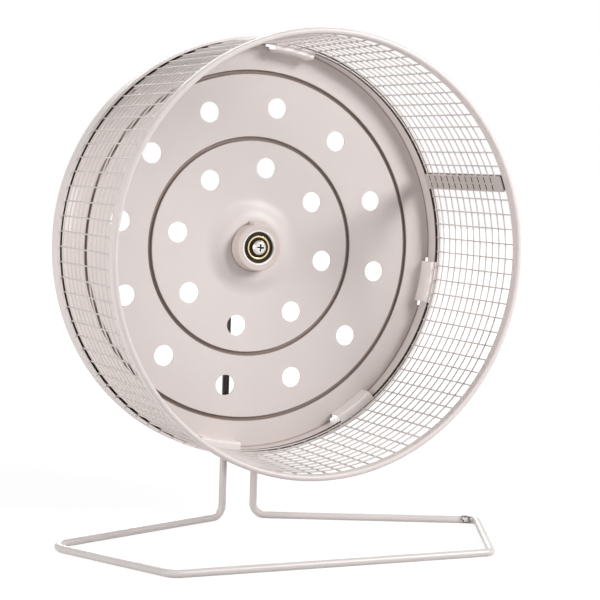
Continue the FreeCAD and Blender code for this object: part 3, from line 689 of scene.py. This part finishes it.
class EXERCISE_WHEEL_OT_cross_wires(bpy.types.Operator):
    """Straight cross wires from rim to rim"""

    bl_idname = "exercise_wheel.cross_wires"
    bl_label = "Cross Wires"

    def execute(self, context):
        size = sizes()
        shape = bmesh.new()
        start = axle_point(-size.wire_end_gap, size.cross_wire_radius)
        wire_ring(shape, start, ACROSS, DRUM_AXIS, size.wire_diameter / 2)
        made = bmesh.ops.extrude_edge_only(shape, edges=list(shape.edges))["geom"]
        front = [item for item in made if isinstance(item, bmesh.types.BMVert)]
        bmesh.ops.translate(shape, verts=front, vec=DRUM_AXIS * (size.wire_end_gap * 2 - size.drum_depth))
        bmesh.ops.holes_fill(shape, edges=shape.edges, sides=0)
        clearance = (math.tau - size.mesh_span) / 2
        turn = Matrix.Rotation(size.seam_angle - clearance, 3, DRUM_AXIS)
        bmesh.ops.rotate(shape, verts=shape.verts, cent=AXLE, matrix=turn)
        bmesh.ops.spin(
            shape, geom=list(shape.verts) + list(shape.edges) + list(shape.faces), cent=AXLE, axis=DRUM_AXIS,
            angle=-size.mesh_span, steps=size.cross_wire_count - 1, use_duplicate=True)
        bmesh.ops.recalc_face_normals(shape, faces=shape.faces)
        finished_piece(shape, "mesh_cross_wires", smooth_angle=WIRE_SMOOTH_ANGLE)
        return {"FINISHED"}


class EXERCISE_WHEEL_OT_rims(bpy.types.Operator):
    """Folded rims that grip the cross wires"""

    bl_idname = "exercise_wheel.rims"
    bl_label = "Rims"

    def execute(self, context):
        size = sizes()
        rear_reach = -size.rear_width
        for node, web, reach, lip_reach, web_fold in (
                ("rear_rim", 0.0, rear_reach, rear_reach - size.rear_lip, size.rim_fold),
                ("front_rim", -size.drum_depth, size.front_width, size.front_width, size.front_fold)):
            corners = rim_profile(web, reach, lip_reach)
            roundings = [web_fold if station == web else size.rim_fold for station, _ in corners]
            shape = bmesh.new()
            spun_profile(shape, corners, roundings)
            finished_piece(shape, node)
        return {"FINISHED"}


class EXERCISE_WHEEL_OT_back_disc(bpy.types.Operator):
    """Pressed back disc with its holes and hook tabs"""

    bl_idname = "exercise_wheel.back_disc"
    bl_label = "Back Disc"

    def execute(self, context):
        softened_node("back_disc", sizes().edge_rounding)
        return {"FINISHED"}


class EXERCISE_WHEEL_OT_seam_strips(bpy.types.Operator):
    """Strips over the seam of the mesh"""

    bl_idname = "exercise_wheel.seam_strips"
    bl_label = "Seam Strips"

    def execute(self, context):
        softened_node("seam_inner_strip", sizes().fine_rounding)
        softened_node("seam_outer_strip", sizes().edge_rounding)
        return {"FINISHED"}


class EXERCISE_WHEEL_OT_hub(bpy.types.Operator):
    """Bearing housing, bearing, bush and screw"""

    bl_idname = "exercise_wheel.hub"
    bl_label = "Hub"

    def execute(self, context):
        for node in (
                "bearing_housing", "bearing_outer_ring", "bearing_inner_ring", "front_seal", "rear_seal",
                "axle_bush", "axle_screw", "bearing_balls", "ball_cage"):
            softened_node(node, sizes().fine_rounding)
        return {"FINISHED"}


class EXERCISE_WHEEL_OT_axle_mount(bpy.types.Operator):
    """Plate, welds, spacer, washer and nut behind the disc"""

    bl_idname = "exercise_wheel.axle_mount"
    bl_label = "Axle Mount"

    def execute(self, context):
        for node in ("axle_plate", "plate_welds", "axle_spacer", "plate_washer", "axle_nut"):
            softened_node(node, sizes().edge_rounding)
        return {"FINISHED"}


class EXERCISE_WHEEL_OT_stand(bpy.types.Operator):
    """Bent-rod stand and the weld that closes its loop"""

    bl_idname = "exercise_wheel.stand"
    bl_label = "Stand"

    def execute(self, context):
        for node in ("stand_rod", "rod_butt_weld"):
            softened_node(node, sizes().edge_rounding)
        return {"FINISHED"}


# Studio


def camera_ray_mask(tree):
    """1 for rays that see the background directly, in a mirror or through glass."""
    path = tree.nodes.new("ShaderNodeLightPath")
    seen = math_node(tree, "MAXIMUM", path.outputs["Is Camera Ray"], path.outputs["Is Glossy Ray"])
    return math_node(tree, "MAXIMUM", seen, path.outputs["Is Transmission Ray"])


def soft_lamp(name, place, size, power):
    lamp = bpy.data.lights.new(name, "AREA")
    lamp.shape = "RECTANGLE"
    lamp.energy = power
    lamp.size, lamp.size_y = size
    holder = bpy.data.objects.new(name, lamp)
    holder.location = place
    holder.rotation_mode = "QUATERNION"
    holder.rotation_quaternion = (Vector(LAMP_TARGET) - Vector(place)).to_track_quat("-Z", "Y")
    bpy.context.scene.collection.objects.link(holder)


def floor_material():
    """Pale floor that keeps the object's shadow and runs into the white backdrop."""
    near, far, near_share = 0.3, 1.0, 0.75
    material, tree, shader = bare_material("pale floor")
    shader.inputs["Base Color"].default_value = (0.7, 0.7, 0.7, 1.0)
    shader.inputs["Roughness"].default_value = 0.9
    shader.inputs["Specular IOR Level"].default_value = 0.0
    glow = tree.nodes.new("ShaderNodeEmission")
    glow.inputs["Strength"].default_value = 1.2
    place = tree.nodes.new("ShaderNodeTexCoord")
    reach = tree.nodes.new("ShaderNodeVectorMath")
    reach.operation = "LENGTH"
    link(tree, place.outputs["Object"], reach.inputs[0])
    away = ramp_between(tree, reach.outputs["Value"], near, far)
    share = math_node(tree, "ADD", math_node(tree, "MULTIPLY", away, 1.0 - near_share), near_share)
    mix = tree.nodes.new("ShaderNodeMixShader")
    link(tree, math_node(tree, "MULTIPLY", camera_ray_mask(tree), share), mix.inputs[0])
    link(tree, shader.outputs[0], mix.inputs[1])
    link(tree, glow.outputs[0], mix.inputs[2])
    link(tree, mix.outputs[0], tree.nodes["Material Output"].inputs["Surface"])
    return material


class EXERCISE_WHEEL_OT_stage(bpy.types.Operator):
    """Floor, lights, world and camera"""

    bl_idname = "exercise_wheel.stage"
    bl_label = "Stage"

    def execute(self, context):
        scene = context.scene
        stage = stage_settings()
        shape = bmesh.new()
        bmesh.ops.create_grid(shape, x_segments=1, y_segments=1, size=FLOOR_HALF_WIDTH)
        mesh = bpy.data.meshes.new("floor")
        shape.to_mesh(mesh)
        shape.free()
        mesh.materials.append(floor_material())
        floor = bpy.data.objects.new("floor", mesh)
        scene.collection.objects.link(floor)

        world = bpy.data.worlds.new("studio")
        world.use_nodes = True
        tree = world.node_tree
        back = tree.nodes["Background"]
        back.inputs["Color"].default_value = (1.0, 1.0, 1.0, 1.0)
        seen = camera_ray_mask(tree)
        level = tree.nodes.new("ShaderNodeMapRange")
        level.inputs["To Min"].default_value = stage.ambient
        level.inputs["To Max"].default_value = 1.0
        link(tree, seen, level.inputs["Value"])
        link(tree, level.outputs["Result"], back.inputs["Strength"])
        scene.world = world

        soft_lamp("key", KEY_PLACE, KEY_SIZE, stage.key_power)
        soft_lamp("fill", FILL_PLACE, FILL_SIZE, stage.fill_power)
        soft_lamp("back", BACK_PLACE, BACK_SIZE, stage.back_power)

        data = bpy.data.cameras.new("photo camera")
        data.lens = stage.lens
        data.sensor_width = SENSOR_WIDTH
        data.clip_start = 0.01
        camera = bpy.data.objects.new("photo camera", data)
        turn, rise, roll = stage.azimuth, stage.elevation, stage.roll
        back_way = Vector((math.sin(turn) * math.cos(rise), -math.cos(turn) * math.cos(rise), math.sin(rise)))
        level_right = Vector((math.cos(turn), math.sin(turn), 0.0))
        level_up = back_way.cross(level_right)
        right = math.cos(roll) * level_right + math.sin(roll) * level_up
        up = -math.sin(roll) * level_right + math.cos(roll) * level_up
        camera.matrix_world = (
            Matrix.Translation(stage.camera_place) @ Matrix((right, up, back_way)).transposed().to_4x4())
        scene.collection.objects.link(camera)
        scene.camera = camera
        scene.view_settings.view_transform = "Standard"
        return {"FINISHED"}


class EXERCISE_WHEEL_PT_panel(bpy.types.Panel):
    """Lists the pieces and their settings"""

    bl_idname = "EXERCISE_WHEEL_PT_panel"
    bl_label = "Exercise Wheel"
    bl_space_type = "VIEW_3D"
    bl_region_type = "UI"
    bl_category = "Exercise Wheel"

    def draw(self, context):
        for piece in PIECES:
            self.layout.operator(piece.bl_idname)
        for settings in (sizes(), colours(), stage_settings()):
            box = self.layout.box()
            for name in settings.__annotations__:
                box.prop(settings, name)


PIECES = (
    EXERCISE_WHEEL_OT_stand,
    EXERCISE_WHEEL_OT_axle_mount,
    EXERCISE_WHEEL_OT_hub,
    EXERCISE_WHEEL_OT_back_disc,
    EXERCISE_WHEEL_OT_rims,
    EXERCISE_WHEEL_OT_hoop_wires,
    EXERCISE_WHEEL_OT_cross_wires,
    EXERCISE_WHEEL_OT_seam_strips,
    EXERCISE_WHEEL_OT_stage,
)
CLASSES = (WheelSizes, WheelColours, StageSettings, *PIECES, EXERCISE_WHEEL_PT_panel)


def register():
    for item in CLASSES:
        bpy.utils.register_class(item)
    bpy.types.Scene.exercise_wheel_sizes = bpy.props.PointerProperty(type=WheelSizes)
    bpy.types.Scene.exercise_wheel_colours = bpy.props.PointerProperty(type=WheelColours)
    bpy.types.Scene.exercise_wheel_stage = bpy.props.PointerProperty(type=StageSettings)


def unregister():
    del bpy.types.Scene.exercise_wheel_stage
    del bpy.types.Scene.exercise_wheel_colours
    del bpy.types.Scene.exercise_wheel_sizes
    for item in reversed(CLASSES):
        bpy.utils.unregister_class(item)


def main():
    register()
    bpy.ops.exercise_wheel.stand()
    bpy.ops.exercise_wheel.axle_mount()
    bpy.ops.exercise_wheel.hub()
    bpy.ops.exercise_wheel.back_disc()
    bpy.ops.exercise_wheel.rims()
    bpy.ops.exercise_wheel.hoop_wires()
    bpy.ops.exercise_wheel.cross_wires()
    bpy.ops.exercise_wheel.seam_strips()
    bpy.ops.exercise_wheel.stage()


if __name__ == "__main__":
    main()
